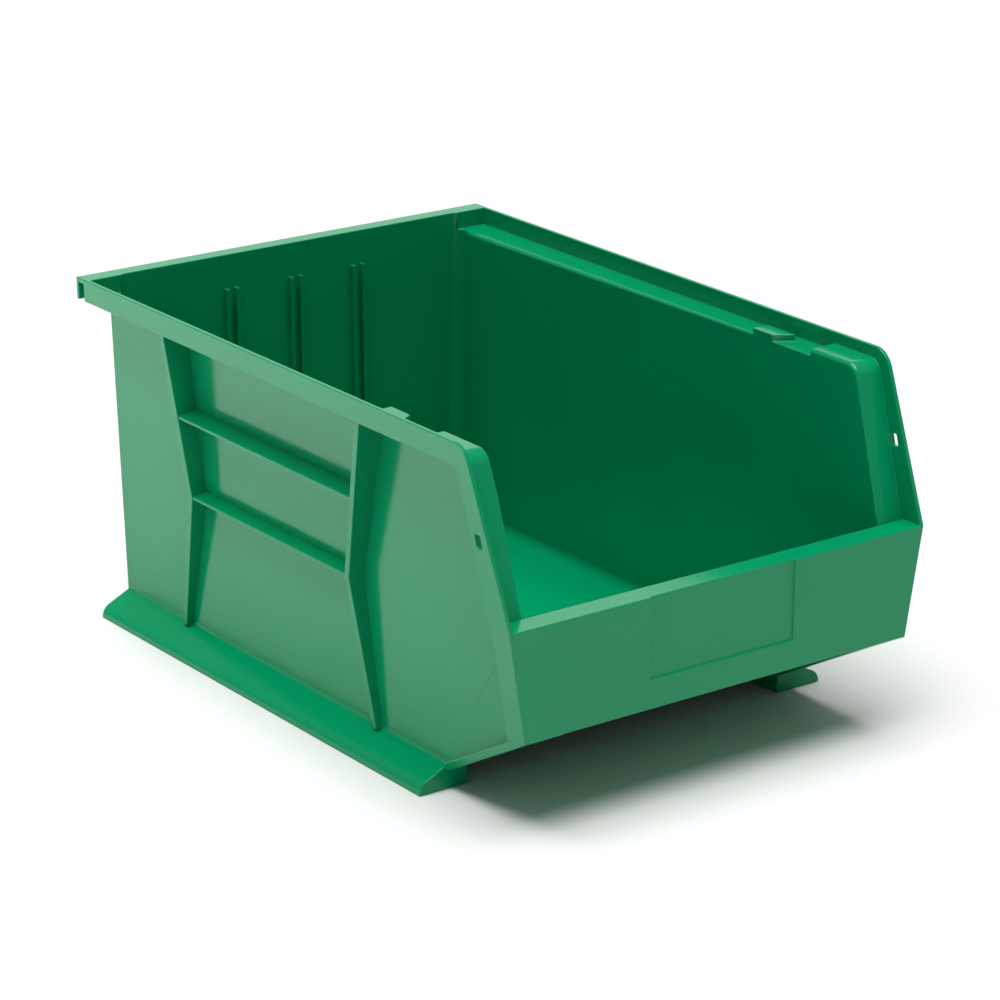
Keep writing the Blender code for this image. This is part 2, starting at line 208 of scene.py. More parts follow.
def choose(obj, kind, test):
    """Enters edit mode with only the elements selected whose lowest and highest corner pass."""
    activate(obj)
    bpy.ops.object.mode_set(mode="EDIT")
    bpy.ops.mesh.select_mode(type=kind)
    bpy.ops.mesh.select_all(action="DESELECT")
    shape = bmesh.from_edit_mesh(obj.data)
    elements = {"VERT": shape.verts, "EDGE": shape.edges, "FACE": shape.faces}[kind]
    found = 0
    for element in elements:
        corners = [element.co] if kind == "VERT" else [vert.co for vert in element.verts]
        low = Vector([min(corner[i] for corner in corners) for i in range(3)])
        high = Vector([max(corner[i] for corner in corners) for i in range(3)])
        if test(low, high):
            element.select_set(True)
            found += 1
    shape.select_flush_mode()
    bmesh.update_edit_mesh(obj.data)
    if not found:
        raise RuntimeError(f"{obj.name}: nothing to select for this step")
    return found


def shift(obj, test, offset):
    """Moves the vertices that pass the test."""
    choose(obj, "VERT", lambda low, high: test(low))
    bpy.ops.transform.translate(value=offset)
    bpy.ops.object.mode_set(mode="OBJECT")


def bevel(obj, test, width, segments):
    """Rounds the edges whose lowest and highest corner pass the test."""
    choose(obj, "EDGE", test)
    bpy.ops.mesh.bevel(offset=width, segments=segments, profile=0.5, clamp_overlap=False)
    bpy.ops.object.mode_set(mode="OBJECT")


def combine(obj, other, operation):
    """Joins other to obj, or cuts it away, and removes it."""
    activate(obj)
    modifier = obj.modifiers.new(operation.lower(), "BOOLEAN")
    modifier.operation = operation
    modifier.solver = "EXACT"
    modifier.object = other
    bpy.ops.object.modifier_apply(modifier=modifier.name)
    bpy.data.objects.remove(other, do_unlink=True)
    return obj


def join(obj, *others):
    for other in others:
        combine(obj, other, "UNION")
    return obj


def cut(obj, *others):
    for other in others:
        combine(obj, other, "DIFFERENCE")
    return obj


def clean(obj):
    """Merges the flat faces that joining and cutting left split."""
    activate(obj)
    bpy.ops.object.mode_set(mode="EDIT")
    bpy.ops.mesh.select_all(action="SELECT")
    bpy.ops.mesh.remove_doubles(threshold=MERGE)
    bpy.ops.mesh.dissolve_limited(angle_limit=FLAT_ANGLE)
    bpy.ops.object.mode_set(mode="OBJECT")


def keep_creases(obj):
    """Marks the edges between two broad faces sharp, so that both stay flat."""
    activate(obj)
    bpy.ops.object.mode_set(mode="EDIT")
    bpy.ops.mesh.select_mode(type="EDGE")
    bpy.ops.mesh.select_all(action="DESELECT")
    shape = bmesh.from_edit_mesh(obj.data)
    for edge in shape.edges:
        areas = [face.calc_area() for face in edge.link_faces]
        if len(areas) == 2 and min(areas) > BROAD_FACE:
            edge.select_set(True)
    shape.select_flush_mode()
    bmesh.update_edit_mesh(obj.data)
    bpy.ops.mesh.mark_sharp()
    bpy.ops.object.mode_set(mode="OBJECT")


def round_edges(obj, width, segments=3, angle=30.0):
    """Rounds every edge sharper than the angle."""
    clean(obj)
    keep_creases(obj)
    modifier = obj.modifiers.new("edge radius", "BEVEL")
    modifier.width = width
    modifier.segments = segments
    modifier.limit_method = "ANGLE"
    modifier.angle_limit = math.radians(angle)
    modifier.miter_outer = "MITER_ARC"
    modifier.use_clamp_overlap = False
    activate(obj)
    bpy.ops.object.modifier_apply(modifier=modifier.name)


def mirrored(obj, name):
    """A copy with its own mesh on the other side of the bin."""
    activate(obj)
    bpy.ops.object.duplicate()
    copy = bpy.context.object
    copy.name = name
    copy.data.name = name
    copy.scale.x = -1.0
    bpy.ops.object.transform_apply(location=True, rotation=True, scale=True)
    bpy.ops.object.mode_set(mode="EDIT")
    bpy.ops.mesh.select_all(action="SELECT")
    bpy.ops.mesh.normals_make_consistent(inside=False)
    bpy.ops.object.mode_set(mode="OBJECT")
    return copy


def copied(obj, name, offset):
    """A copy with its own mesh, moved by an offset."""
    activate(obj)
    bpy.ops.object.duplicate()
    copy = bpy.context.object
    copy.name = name
    copy.data.name = name
    bpy.ops.transform.translate(value=offset)
    bpy.ops.object.transform_apply(location=True, rotation=True, scale=True)
    return copy


def complete(obj, material, nodes):
    """Gives a finished piece its material, its shading and its place on the frame."""
    activate(obj)
    bpy.ops.object.mode_set(mode="EDIT")
    bpy.ops.mesh.select_all(action="SELECT")
    bpy.ops.mesh.normals_make_consistent(inside=False)
    bpy.ops.object.mode_set(mode="OBJECT")
    bpy.ops.object.shade_smooth_by_angle(angle=SMOOTH_ANGLE, keep_sharp_edges=True)
    weighted = obj.modifiers.new("flat faces stay flat", "WEIGHTED_NORMAL")
    weighted.keep_sharp = True
    weighted.weight = 90
    bpy.ops.object.modifier_apply(modifier=weighted.name)
    obj.data.materials.clear()
    obj.data.materials.append(material)
    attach(obj, "root")
    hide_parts(*nodes)


# Planes of the moulding -------------------------------------------------------------------------
def wall_plane(depth):
    """A point and the outward normal of the right side wall, this deep under its outer face."""
    normal = Vector((math.cos(TILT), 0.0, -math.sin(TILT)))
    return Vector((WALL_HIGH.x, 0.0, WALL_HIGH.z)) - normal * depth, normal


def rear_plane(depth):
    """A point and the outward normal of the rear wall, this deep under its outer face."""
    normal = Vector((0.0, 1.0, -REAR_LEAN)).normalized()
    return Vector((0.0, BAND_HIGH.y, TOP_Z)) - normal * depth, normal


def ramp_plane(depth):
    """A point and the outward normal of the ramp's underside, this deep inside it."""
    along = Vector((0.0, FRONT_HIGH.y - FLOOR_LOW.y, FRONT_LOW.z - FLOOR_LOW.z))
    normal = Vector((0.0, -along.z, along.y)).normalized()
    return Vector((0.0, FLOOR_LOW.y, FLOOR_LOW.z)) - normal * depth, normal


def slant_plane(setback, slope):
    """A point and the forward normal of a plane that leans back above the front wall."""
    normal = Vector((0.0, -1.0, slope)).normalized()
    return Vector((0.0, FRONT_Y + setback, FRONT_HIGH.z)), normal


def opposite(plane):
    point, normal = plane
    return point, -normal


def deeper(plane, depth):
    point, normal = plane
    return point - normal * depth, normal


def on_inner_wall(point):
    """Whether a point lies on the inner face of the right side wall."""
    origin, normal = wall_plane(WALL)
    return abs((point - origin).dot(normal)) < NEAR_WALL


def soft_corner(start, corner, end, steps):
    """Points that curve from start to end without reaching the corner."""
    points = []
    for step in range(steps + 1):
        t = step / steps
        points.append(start * (1 - t) ** 2 + corner * 2 * t * (1 - t) + end * t ** 2)
    return points


def plane_y(plane, height):
    """Where a plane across the bin stands at a height."""
    point, normal = plane
    return point.y - normal.z / normal.y * (height - point.z)


def plane_z(plane, y):
    """How high a plane across the bin is at a y."""
    point, normal = plane
    return point.z - normal.y / normal.z * (y - point.y)


# Material ---------------------------------------------------------------------------------------
def linear(hex_colour):
    """sRGB hex to linear RGBA."""
    values = [int(hex_colour[i:i + 2], 16) / 255.0 for i in (1, 3, 5)]
    rgb = (v / 12.92 if v <= 0.04045 else ((v + 0.055) / 1.055) ** 2.4 for v in values)
    return (*rgb, 1.0)


def add(tree, kind, links=(), **settings):
    """Adds a node; settings are its properties or its input values, links its input sources."""
    node = tree.nodes.new(kind)
    for name, value in settings.items():
        if hasattr(node, name):
            setattr(node, name, value)
        else:
            node.inputs[name.replace("_", " ")].default_value = value
    for socket, source in links:
        tree.links.new(source, node.inputs[socket])
    return node


def moulded_polypropylene(finish):
    """Injection moulded polypropylene: a semi-gloss skin with a faint spark-eroded grain,
    slow waves from shrinking over the ribs, and slightly uneven pigment."""
    name = "moulded polypropylene"
    if name in bpy.data.materials:
        return bpy.data.materials[name]
    material = bpy.data.materials.new(name)
    material.use_nodes = True
    tree = material.node_tree
    shader = tree.nodes["Principled BSDF"]
    shader.inputs["IOR"].default_value = finish.ior
    shader.inputs["Specular IOR Level"].default_value = finish.specular
    place = add(tree, "ShaderNodeTexCoord").outputs["Object"]
    pigment = add(tree, "ShaderNodeTexNoise", [("Vector", place)],
                  Scale=1.0 / finish.pigment_size, Detail=2.0, Roughness=0.5)
    colour = add(tree, "ShaderNodeValToRGB", [("Fac", pigment.outputs["Fac"])])
    colour.color_ramp.elements[0].position = 0.3
    dark = [value * finish.pigment_low for value in finish.colour]
    colour.color_ramp.elements[0].color = (*dark, 1.0)
    colour.color_ramp.elements[1].position = 0.7
    colour.color_ramp.elements[1].color = (*finish.colour, 1.0)
    tree.links.new(colour.outputs["Color"], shader.inputs["Base Color"])
    handling = add(tree, "ShaderNodeTexNoise", [("Vector", place)],
                   Scale=1.0 / finish.handling_size, Detail=4.0, Roughness=0.6)
    gloss = add(tree, "ShaderNodeMapRange", [("Value", handling.outputs["Fac"])],
                From_Min=0.3, From_Max=0.7,
                To_Min=finish.roughness - finish.roughness_spread,
                To_Max=finish.roughness + finish.roughness_spread)
    tree.links.new(gloss.outputs["Result"], shader.inputs["Roughness"])
    grain = add(tree, "ShaderNodeTexNoise", [("Vector", place)],
                Scale=1.0 / finish.grain_size, Detail=2.0, Roughness=0.5)
    waves = add(tree, "ShaderNodeTexNoise", [("Vector", place)],
                Scale=1.0 / finish.wave_size, Detail=1.0, Roughness=0.4)
    wave_bump = add(tree, "ShaderNodeBump", [("Height", waves.outputs["Fac"])],
                    Strength=1.0, Distance=finish.wave_depth)
    grain_bump = add(tree, "ShaderNodeBump",
                     [("Height", grain.outputs["Fac"]), ("Normal", wave_bump.outputs["Normal"])],
                     Strength=1.0, Distance=finish.grain_depth)
    tree.links.new(grain_bump.outputs["Normal"], shader.inputs["Normal"])
    return material


# Settings ---------------------------------------------------------------------------------------
class StorageBinSizes(bpy.types.PropertyGroup):
    edge_radius: FloatProperty(
        name="Edge radius", description="Radius on the edges of the shell",
        default=0.55 * MM, unit="LENGTH")
    thin_radius: FloatProperty(
        name="Thin edge radius", description="Radius on the edges of ribs and flanges",
        default=0.5 * MM, unit="LENGTH")
    ledge_radius: FloatProperty(
        name="Ledge radius", description="Radius where the side wall turns out into the ledge",
        default=2.4 * MM, unit="LENGTH")
    floor_radius: FloatProperty(
        name="Floor radius", description="Radius between the floor and the walls inside",
        default=7.0 * MM, unit="LENGTH")
    lip_radius: FloatProperty(
        name="Lip radius", description="Radius on the outer top edge of the hanging lip",
        default=2.2 * MM, unit="LENGTH")
    stop_radius: FloatProperty(
        name="Stop radius", description="Rounding where the front stop turns down into its web",
        default=6.7 * MM, unit="LENGTH")
    corner_radius: FloatProperty(
        name="Corner radius", description="Rounding of the rim's front corner",
        default=9.0 * MM, unit="LENGTH")
    rail_nose: FloatProperty(
        name="Rail nose", description="Rounding of the outer edge of the base rails",
        default=4.6 * MM, unit="LENGTH")
    rail_fillet: FloatProperty(
        name="Rail fillet", description="Reach of the curve between the side wall and the rail",
        default=1.2 * MM, unit="LENGTH")
    label_depth: FloatProperty(
        name="Label depth", description="Depth of the label recess in the front wall",
        default=1.3 * MM, unit="LENGTH")


class StorageBinFinish(bpy.types.PropertyGroup):
    colour: FloatVectorProperty(
        name="Colour", description="Colour of the plastic", subtype="COLOR", size=3,
        min=0.0, max=1.0, default=linear("#008b59")[:3])
    ior: FloatProperty(name="IOR", description="Index of refraction of polypropylene", default=1.49)
    specular: FloatProperty(
        name="Specular level", description="Strength of the skin's reflections", default=0.32)
    roughness: FloatProperty(
        name="Roughness", description="Roughness of the moulded skin", default=0.15)
    roughness_spread: FloatProperty(
        name="Roughness spread", description="How far handling changes the roughness", default=0.02)
    pigment_low: FloatProperty(
        name="Pigment low", description="Brightness of the darkest pigment, as a share",
        default=0.96)
    pigment_size: FloatProperty(
        name="Pigment size", description="Size of a patch of uneven pigment",
        default=60.0 * MM, unit="LENGTH")
    handling_size: FloatProperty(
        name="Handling size", description="Size of a patch that handling has dulled",
        default=25.0 * MM, unit="LENGTH")
    grain_size: FloatProperty(
        name="Grain size", description="Size of the mould's grain, coarser than real to show",
        default=0.9 * MM, unit="LENGTH")
    grain_depth: FloatProperty(
        name="Grain depth", description="Depth of the mould's grain",
        default=0.01 * MM, unit="LENGTH")
    wave_size: FloatProperty(
        name="Wave size", description="Length of the slow waves that shrinking leaves",
        default=45.0 * MM, unit="LENGTH")
    wave_depth: FloatProperty(
        name="Wave depth", description="Depth of those waves", default=0.12 * MM, unit="LENGTH")


class StorageBinStage(bpy.types.PropertyGroup):
    azimuth: FloatProperty(
        name="Azimuth", description="Direction of the camera round the bin",
        default=math.radians(-36.58), subtype="ANGLE")
    elevation: FloatProperty(
        name="Elevation", description="Height of the camera above the horizon",
        default=math.radians(19.27), subtype="ANGLE")
    roll: FloatProperty(
        name="Roll", description="Turn of the camera about its line of sight",
        default=math.radians(0.30), subtype="ANGLE")
    distance: FloatProperty(
        name="Distance", description="From the camera to what it looks at",
        default=2.0923, unit="LENGTH")
    target: FloatVectorProperty(
        name="Target", description="What the camera looks at",
        default=(0.0074, -0.0012, 0.0977), subtype="TRANSLATION")
    lens: FloatProperty(name="Lens", description="Focal length in millimetres", default=135.97)
    floor_colour: FloatVectorProperty(
        name="Floor colour", description="Colour of the studio floor", subtype="COLOR", size=3,
        min=0.0, max=1.0, default=linear("#dededd")[:3])
    surroundings: FloatProperty(
        name="Surroundings", description="Brightness of the white room", default=0.22)
    overhead: FloatProperty(
        name="Overhead light", description="Strength of the broad light above", default=3.9)
    side_power: FloatProperty(
        name="Side light", description="Power of the softbox over the paper on the left",
        default=11.0, unit="POWER")
    back_power: FloatProperty(
        name="Back light", description="Power of the softbox behind, mirrored in the rims",
        default=7.0, unit="POWER")


# Pieces -----------------------------------------------------------------------------------------
def settings():
    scene = bpy.context.scene
    return scene.storage_bin_sizes, scene.storage_bin_finish


def rear_y(height):
    return REAR_FOOT_Y + REAR_LEAN * height


def web_y(height):
    return FRONT_Y + WEB_SETBACK + WEB_SLOPE * (height - FRONT_HIGH.z)


def ramp_z(y):
    """Height of the ramp's underside."""
    slope = (FRONT_LOW.z - FLOOR_LOW.z) / (FRONT_HIGH.y - FLOOR_LOW.y)
    return FLOOR_LOW.z + slope * (y - FLOOR_LOW.y)


def band_z(y):
    """Height of the underside of the band between the front wall's foot and the rail."""
    slope = (LOWER_BAND_LOW.z - FRONT_LOW.z) / (RAIL_LOW.y - FRONT_Y)
    return FRONT_LOW.z + slope * (y - FRONT_Y)


def flange_plane(top, foot):
    """The outer face of the side flange between two of its stations, each an x and a height."""
    normal = Vector((top[1] - foot[1], 0.0, foot[0] - top[0])).normalized()
    return Vector((top[0], 0.0, top[1])), normal


class STORAGEBIN_OT_shell(bpy.types.Operator):
    """Tub, ledges, stops, flanges, front wall and hanging lip, as one continuous moulding"""

    bl_idname = "storage_bin.shell"
    bl_label = "Shell"

    def execute(self, context):
        sizes, finish = settings()
        shell = self.walls()
        join(shell, self.ledge_and_web(sizes), self.stop_block(), self.rear_rim(),
             self.side_flange(), self.lower_band())
        cut(shell, self.cavity(sizes), self.behind())
        join(shell, self.front_wall())
        upper = flange_plane((HALF_WIDTH, TOP_Z), (FRONT_HIGH.x, FRONT_HIGH.z))
        lower = flange_plane((FRONT_HIGH.x, FRONT_HIGH.z), (LOWER_BAND_HIGH.x, FRONT_LOW.z))
        cut(shell, beyond(upper), beyond(lower), beyond(slant_plane(0.0, EDGE_SLOPE)),
            beyond((Vector((0.0, FRONT_Y, 0.0)), Vector((0.0, -1.0, 0.0)))),
            beyond((Vector((0.0, 0.0, TOP_Z)), Vector((0.0, 0.0, 1.0)))),
            block("label", (-LABEL_HALF, FRONT_Y - SLACK, LABEL_FOOT),
                  (LABEL_HALF, FRONT_Y + sizes.label_depth, TOP_Z)),
            self.slot())
        clean(shell)
        self.round_by_hand(shell, sizes)
        self.mirror(shell)
        round_edges(shell, sizes.edge_radius)
        nodes = ["floor_panel", "front_ramp", "rear_wall", "rear_rim_band", "front_wall",
                 "front_top_flange", "hanging_lip_top", "hanging_hook"]
        for side in SIDES:
            for section in ("side_wall", "stacking_ledge", "stop_ledge", "stop_block", "front_stop",
                            "front_web", "rim_flange", "front_edge_flange", "front_side_flange",
                            "lower_edge_flange"):
                nodes.append(f"{side}_{section}")
        complete(shell, moulded_polypropylene(finish), nodes)
        return {"FINISHED"}

    def walls(self):
        """Right half of the tub, still solid."""
        top = LEDGE_LOW.z + WALL / 2
        front_top = FRONT_HIGH.z - BITE
        front = FRONT_HIGH.y - BITE
        walls = side_prism("shell", -30 * MM, HALF_WIDTH, [
            (FLOOR_LOW.y, FLOOR_LOW.z), (REAR_Y, FLOOR_LOW.z), (REAR_Y, top),
            (web_y(top) + 2 * BITE, top), (web_y(front_top) + 2 * BITE, front_top),
            (front, front_top), (front, ramp_z(front))])
        return trim(walls, *wall_plane(0.0))

    def cavity(self, sizes):
        """The space inside, with its floor and rear edges rounded."""
        ramp = deeper(ramp_plane(0.0), RAMP_THICK)
        front, top = FRONT_Y - 2 * SLACK, TOP_Z + SLACK
        cavity = side_prism("cavity", -40 * MM, HALF_WIDTH, [
            (plane_y(ramp, FLOOR_HIGH.z), FLOOR_HIGH.z),
            (rear_y(FLOOR_HIGH.z) - WALL, FLOOR_HIGH.z), (rear_y(top) - WALL, top),
            (front, top), (front, plane_z(ramp, front))])
        trim(cavity, *wall_plane(WALL))
        bevel(cavity, lambda low, high: low.x > 0 and low.z < FRONT_HIGH.z and high.y > front + BITE
              or low.y > 0 and high.z < FLOOR_HIGH.z + BITE, sizes.floor_radius, 6)
        return cavity

    def ledge_and_web(self, sizes):
        """Ledge, front stop and the web that runs down behind the slanted flange."""
        stop_top, ledge_top, under = FRONT_STOP_HIGH.z, LEDGE_HIGH.z, LEDGE_LOW.z
        web_foot = FRONT_HIGH.z - WALL / 2
        thick = WEB_THICK * math.hypot(1.0, WEB_SLOPE)
        ledge = side_prism("ledge", LEDGE_LOW.x - 12 * MM, HALF_WIDTH + 3 * MM, [
            (REAR_Y - 2 * MM, under), (REAR_Y - 2 * MM, ledge_top),
            (FRONT_STOP_HIGH.y, ledge_top), (FRONT_STOP_HIGH.y, stop_top),
            (web_y(stop_top), stop_top), (web_y(web_foot), web_foot),
            (web_y(web_foot) + thick, web_foot), (web_y(under) + thick, under)])
        bevel(ledge, lambda low, high: low.z > ledge_top + BITE and high.y < web_y(stop_top) + BITE
              and high.x - low.x > BITE, sizes.stop_radius, 8)
        return ledge

    def stop_block(self):
        """Small stop on the ledge, its front end cut on the slant."""
        low_x, high_x = STOP_LOW.x - 9 * MM, STOP_HIGH.x
        front, slanted = STOP_LOW.y, STOP_LOW.y + 7 * MM
        foot = LEDGE_LOW.z + WALL / 2
        corners = [(low_x, slanted), (STOP_LOW.x, slanted), (high_x, front), (high_x, STOP_HIGH.y),
                   (low_x, STOP_HIGH.y)]
        return prism("stop_block", [Vector((x, y, foot)) for x, y in corners],
                     (0.0, 0.0, STOP_HIGH.z - foot))

    def rear_rim(self):
        """Band above the rear wall, with the lip and its hook still oversize."""
        top = TOP_Z + 4 * MM
        foot = LEDGE_HIGH.z - WALL / 2 - 0.3 * MM
        inner = rear_y(top) - WALL - 2 * BITE
        return side_prism("rear_rim", -24 * MM, HALF_WIDTH + 4 * MM, [
            (inner, foot), (HOOK_LOW.y - 2 * BITE, foot), (HOOK_LOW.y - 2 * BITE, foot - 6 * MM),
            (REAR_Y, foot - 6 * MM), (REAR_Y, top), (inner, top)])

    def behind(self):
        """The space behind the rear wall, under the lip and in the hook's slot."""
        far, low = REAR_Y + SLACK, -SLACK
        return side_prism("behind", -50 * MM, HALF_WIDTH + SLACK, [
            (rear_y(low), low), (rear_y(LIP_LOW.z), LIP_LOW.z), (HOOK_LOW.y, LIP_LOW.z),
            (HOOK_LOW.y, HOOK_LOW.z), (far, HOOK_LOW.z), (far, low)])

    def front_wall(self):
        """Front wall with its inward top flange."""
        front = FRONT_Y - 4 * MM
        flange_under = FRONT_HIGH.z - WALL
        return side_prism("front_wall", -20 * MM, HALF_WIDTH + 2 * MM, [
            (front, FRONT_LOW.z), (front, FRONT_HIGH.z), (TOP_FLANGE_HIGH.y, FRONT_HIGH.z),
            (TOP_FLANGE_HIGH.y, flange_under), (FRONT_HIGH.y, flange_under),
            (FRONT_HIGH.y, FRONT_LOW.z)])

    def side_flange(self):
        """Rim flange, slanted front flange and the flange behind the front wall's side edge."""
        inner_edge = TOP_FLANGE_HIGH.y + 2.5 * BITE
        under = LEDGE_HIGH.z - WALL / 2
        plate = side_prism("flange", RAIL_LOW.x, HALF_WIDTH + 8 * MM, [
            (HOOK_LOW.y - BITE, under), (HOOK_LOW.y - BITE, TOP_Z + 6 * MM),
            (FRONT_Y - 6 * MM, TOP_Z + 6 * MM),
            (FRONT_Y - 6 * MM, band_z(FRONT_Y) + LOWER_BAND / 2),
            (inner_edge, band_z(inner_edge) + LOWER_BAND / 2), (inner_edge, FRONT_HIGH.z),
            (web_y(under) + 1.4 * BITE, under)])
        strip_foot = FLOOR_LOW.z
        outer = [(HALF_WIDTH, TOP_Z), (FRONT_HIGH.x, FRONT_HIGH.z),
                 (LOWER_BAND_HIGH.x, FRONT_LOW.z)]
        core = [(x - FLANGE_THICK, z) for x, z in outer]
        core = [(core[0][0] + 0.3 * MM, TOP_Z + 9 * MM)] + core
        core += [(core[-1][0] - 7 * MM, strip_foot)]
        core += [(0.0, strip_foot), (0.0, TOP_Z + 9 * MM)]
        inside = prism("inside", [Vector((x, -REAR_Y * 1.5, z)) for x, z in core],
                       (0.0, REAR_Y * 3, 0.0))
        return cut(plate, inside)

    def slot(self):
        """Slot through the flange, parallel to the web behind it."""
        foot, top = SLOT_Z
        near, far = SLOT_GAP, SLOT_GAP + SLOT_WIDTH
        return side_prism("slot", RAIL_HIGH.x - 3 * MM, HALF_WIDTH + SLACK, [
            (web_y(foot) - near, foot), (web_y(top) - near, top),
            (web_y(top) - far, top), (web_y(foot) - far, foot)])

    def lower_band(self):
        """Band that carries the side flange on to the base rail."""
        start, end = FRONT_Y - 2 * MM, RAIL_LOW.y + BITE
        return side_prism("lower_band", RAIL_LOW.x - 3 * MM, HALF_WIDTH, [
            (start, band_z(start)), (start, band_z(start) + LOWER_BAND),
            (end, band_z(end) + LOWER_BAND), (end, band_z(end))])

    def round_by_hand(self, shell, sizes):
        """The larger roundings: rim corner, lip edge and the inner edge of the ledge."""
        corner_y = FRONT_Y + EDGE_SLOPE * (TOP_Z - FRONT_HIGH.z)
        bevel(shell, lambda low, high: low.z > TOP_Z - BITE and abs(low.y - corner_y) < BITE
              and abs(high.y - corner_y) < BITE, sizes.corner_radius, 8)
        bevel(shell, lambda low, high: low.y > REAR_Y - BITE and (
              low.z > TOP_Z - BITE or low.x > RIM_LOW.x and high.z - low.z > 5 * MM),
              sizes.lip_radius, 5)
        bevel(shell, lambda low, high: on_inner_wall(low) and on_inner_wall(high)
              and high.y < FRONT_STOP_HIGH.y + BITE and high.y - low.y > 0.1 * MM
              and low.z > FRONT_HIGH.z - BITE, sizes.ledge_radius, 5)
        inner = STOP_LOW.x + 0.3 * MM
        bevel(shell, lambda low, high: abs(low.z - LEDGE_HIGH.z) < BITE and high.z - low.z < BITE
              and abs(low.x - inner) < BITE and abs(high.x - inner) < BITE
              and high.y - low.y > STOP_RUN, sizes.ledge_radius, 5)

    def mirror(self, shell):
        """Adds the left half."""
        activate(shell)
        bpy.ops.object.mode_set(mode="EDIT")
        bpy.ops.mesh.select_all(action="SELECT")
        bpy.ops.mesh.bisect(plane_co=(0.0, 0.0, 0.0), plane_no=(-1.0, 0.0, 0.0), clear_outer=True,
                            threshold=EXACT)
        bpy.ops.object.mode_set(mode="OBJECT")
        modifier = shell.modifiers.new("left half", "MIRROR")
        modifier.merge_threshold = 1e-5
        bpy.ops.object.modifier_apply(modifier=modifier.name)


class STORAGEBIN_OT_grips(bpy.types.Operator):
    """Kinked ribs and grip shelves on the outside of both side walls"""

    bl_idname = "storage_bin.grips"
    bl_label = "Grip ribs and shelves"

    def execute(self, context):
        sizes, finish = settings()
        grip = self.rib("right_grip_ribs", "rear")
        join(grip, self.rib("front_rib", "front"))
        for shelf in ("upper", "lower"):
            join(grip, self.shelf(shelf))
        round_edges(grip, sizes.thin_radius)
        other = mirrored(grip, "left_grip_ribs")
        for side, obj in (("right", grip), ("left", other)):
            nodes = [f"{side}_{place}_rib_{half}" for place in ("front", "rear")
                     for half in ("upper", "lower")]
            nodes += [f"{side}_upper_shelf", f"{side}_lower_shelf"]
            complete(obj, moulded_polypropylene(finish), nodes)
        return {"FINISHED"}

    def rib(self, name, place):
        """One kinked rib, from a straight bar bent at the kink and drawn in towards its foot."""
        upper_low, upper_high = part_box(f"right_{place}_rib_upper")
        lower_low, lower_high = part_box(f"right_{place}_rib_lower")
        kink = (upper_low.z + lower_high.z) / 2
        thick = RIB_THICK
        top_y, kink_y, foot_y = RIB_Y[place]
        rib = block(name, (upper_low.x - 8 * BITE, kink_y, lower_low.z - 2 * BITE),
                    (upper_high.x, kink_y + thick, LEDGE_LOW.z + BITE))
        crease(rib, kink)
        shift(rib, lambda co: co.z > kink + BITE, (0.0, top_y - kink_y, 0.0))
        shift(rib, lambda co: co.z < kink - BITE, (0.0, foot_y - kink_y, 0.0))
        edge_low = Vector((lower_high.x - RIB_EDGE_SLOPE * (kink - lower_low.z), 0.0, lower_low.z))
        trim(rib, edge_low, Vector((1.0, 0.0, -RIB_EDGE_SLOPE)).normalized())
        trim(rib, *opposite(wall_plane(WALL / 2)))
        return rib

    def shelf(self, which):
        low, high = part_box(f"right_{which}_shelf")
        shelf = block(f"{which}_shelf", (low.x - WALL / 2, low.y - 2 * BITE, low.z),
                      (high.x - 1.5 * BITE, high.y + 2 * BITE, high.z))
        shift(shelf, lambda co: co.x > low.x and co.z > low.z + BITE, (0.0, 0.0, -SHELF_DROP))
        return shelf


class STORAGEBIN_OT_rails(bpy.types.Operator):
    """Base rails, open below, that stand on the ledges of the bin underneath"""

    bl_idname = "storage_bin.rails"
    bl_label = "Base rails"

    def execute(self, context):
        sizes, finish = settings()
        root_z = FLOOR_LOW.z + WALL / 10
        wall_x = WALL_HIGH.x - math.tan(TILT) * (WALL_HIGH.z - RAIL_HIGH.z)
        nose = Vector((RAIL_HIGH.x, RAIL_NOSE_Z))
        foot = Vector((wall_x, RAIL_NOSE_Z + RAIL_SLOPE * (RAIL_HIGH.x - wall_x)))
        along = (nose - foot).normalized() * sizes.rail_fillet
        up_wall = Vector((math.tan(TILT), 1.0)) * sizes.rail_fillet
        curve = soft_corner(foot + along, foot, foot + up_wall, 7)
        outline = [Vector((RAIL_LOW.x, 0.0)), Vector((RAIL_HIGH.x, 0.0)), nose] + curve
        outline += [Vector((wall_x - WALL, curve[-1].y)), Vector((wall_x - WALL, root_z)),
                    Vector((RAIL_LOW.x, root_z))]
        rail = prism("right_rail", [Vector((x, RAIL_LOW.y, z)) for x, z in outline],
                     (0.0, RAIL_HIGH.y - RAIL_LOW.y, 0.0))
        bevel(rail, lambda low, high: low.x > RAIL_HIGH.x - BITE and low.z > RAIL_NOSE_Z - BITE,
              sizes.rail_nose, 7)
        wall = RAIL_WALL
        hollow = block("hollow", (RAIL_LOW.x + wall, RAIL_LOW.y + wall, -SLACK),
                       (RAIL_HIGH.x - wall, RAIL_HIGH.y - wall, FLOOR_LOW.z - wall))
        slope = Vector((RAIL_SLOPE, 0.0, 1.0)).normalized()
        trim(hollow, Vector((nose.x, 0.0, nose.y)) - slope * wall, slope)
        cut(rail, hollow)
        round_edges(rail, sizes.thin_radius)
        other = mirrored(rail, "left_rail")
        complete(rail, moulded_polypropylene(finish), ["right_base_rail"])
        complete(other, moulded_polypropylene(finish), ["left_base_rail"])
        return {"FINISHED"}


